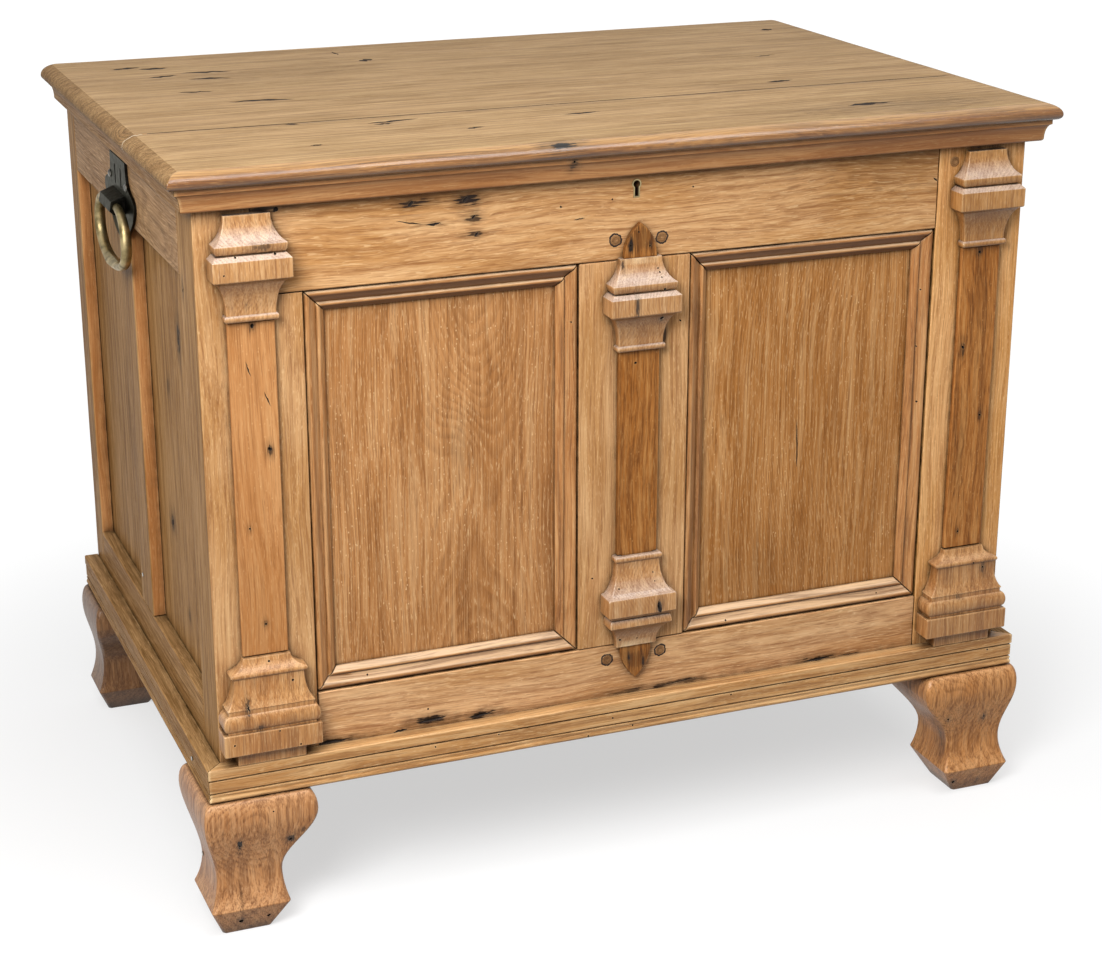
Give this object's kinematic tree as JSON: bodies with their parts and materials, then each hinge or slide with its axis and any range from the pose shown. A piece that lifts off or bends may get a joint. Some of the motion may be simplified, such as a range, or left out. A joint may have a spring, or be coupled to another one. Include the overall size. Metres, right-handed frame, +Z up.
{
  "type": "blanket chest",
  "caption": "Panelled wooden blanket chest on ogee block feet, with a hinged lid, moulded pilasters and a drop-ring handle on each end.",
  "frame": {"origin": "on the floor, under the middle of the whole chest", "axes": "+X to the chest's right as seen from the front, -Y out of the front, +Z up"},
  "size_m": [1.018, 0.6964, 0.8511],
  "materials": {
    "lid_wood": "worn, waxed, grey-tan",
    "frame_wood": "stripped and waxed, honey tan",
    "panel_wood": "stripped and waxed, straight grain",
    "moulding_wood": "waxed, worn pale on the upper edges",
    "side_wood": "waxed, grey-brown",
    "foot_wood": "stripped and waxed",
    "inner_wood": "unfinished boards",
    "iron": "blackened, worn",
    "brass": "dull, olive patina"
  },
  "bodies": {
    "carcase": {"front_left_stile": "frame_wood", "rear_left_post": "side_wood", "front_right_stile": "frame_wood", "rear_right_post": "side_wood", "front_top_rail": "frame_wood", "front_bottom_rail": "frame_wood", "front_muntin": "frame_wood", "front_left_panel": "panel_wood", "front_right_panel": "panel_wood", "left_panel_moulding_top": "moulding_wood", "left_panel_moulding_bottom": "moulding_wood", "left_panel_moulding_left": "moulding_wood", "left_panel_moulding_right": "moulding_wood", "right_panel_moulding_top": "moulding_wood", "right_panel_moulding_bottom": "moulding_wood", "right_panel_moulding_left": "moulding_wood", "right_panel_moulding_right": "moulding_wood", "left_pilaster_capital": "moulding_wood", "left_pilaster_shaft": "frame_wood", "left_pilaster_base": "moulding_wood", "right_pilaster_capital": "moulding_wood", "right_pilaster_shaft": "frame_wood", "right_pilaster_base": "moulding_wood", "centre_pilaster_capital": "moulding_wood", "centre_pilaster_shaft": "frame_wood", "centre_pilaster_drop": "moulding_wood", "left_side_top_rail": "side_wood", "left_side_bottom_rail": "side_wood", "left_side_muntin": "side_wood", "left_side_front_panel": "panel_wood", "left_side_rear_panel": "panel_wood", "right_side_top_rail": "side_wood", "right_side_bottom_rail": "side_wood", "right_side_muntin": "side_wood", "right_side_front_panel": "panel_wood", "right_side_rear_panel": "panel_wood", "back_boards": "inner_wood", "bottom_board": "inner_wood", "base_moulding_front": "moulding_wood", "base_moulding_left": "side_wood", "base_moulding_right": "side_wood", "front_left_foot": "foot_wood", "front_right_foot": "foot_wood", "rear_left_foot": "foot_wood", "rear_right_foot": "foot_wood", "left_handle_plate": "iron", "left_hinge_back_leaf": "iron", "right_handle_plate": "iron", "right_hinge_back_leaf": "iron", "lock_case": "iron"},
    "lid": {"lid_top": "lid_wood", "lid_moulding_front": "moulding_wood", "lid_moulding_left": "side_wood", "lid_moulding_right": "side_wood", "left_hinge_lid_leaf": "iron", "right_hinge_lid_leaf": "iron", "lock_strike": "iron"},
    "left_ring_body": {"left_ring": "brass"},
    "right_ring_body": {"right_ring": "brass"},
    "bolt": {"lock_bolt": "iron"}
  },
  "joints": [
    {"name": "lid_hinge", "type": "hinge", "parent": "carcase", "child": "lid", "pos_m": [0, 0.34415, 0.83245], "axis": [-1, 0, 0], "range_deg": [0, 100]},
    {"name": "left_ring_swing", "type": "hinge", "parent": "carcase", "child": "left_ring_body", "pos_m": [-0.4928, 0.02285, 0.7453], "axis": [0, 1, 0], "range_deg": [0, 110]},
    {"name": "right_ring_swing", "type": "hinge", "parent": "carcase", "child": "right_ring_body", "pos_m": [0.4928, 0.02285, 0.7453], "axis": [0, -1, 0], "range_deg": [0, 110]},
    {"name": "bolt_slide", "type": "slide", "parent": "carcase", "child": "bolt", "axis": [1, 0, 0], "range_m": [0, 0.014]}
  ]
}
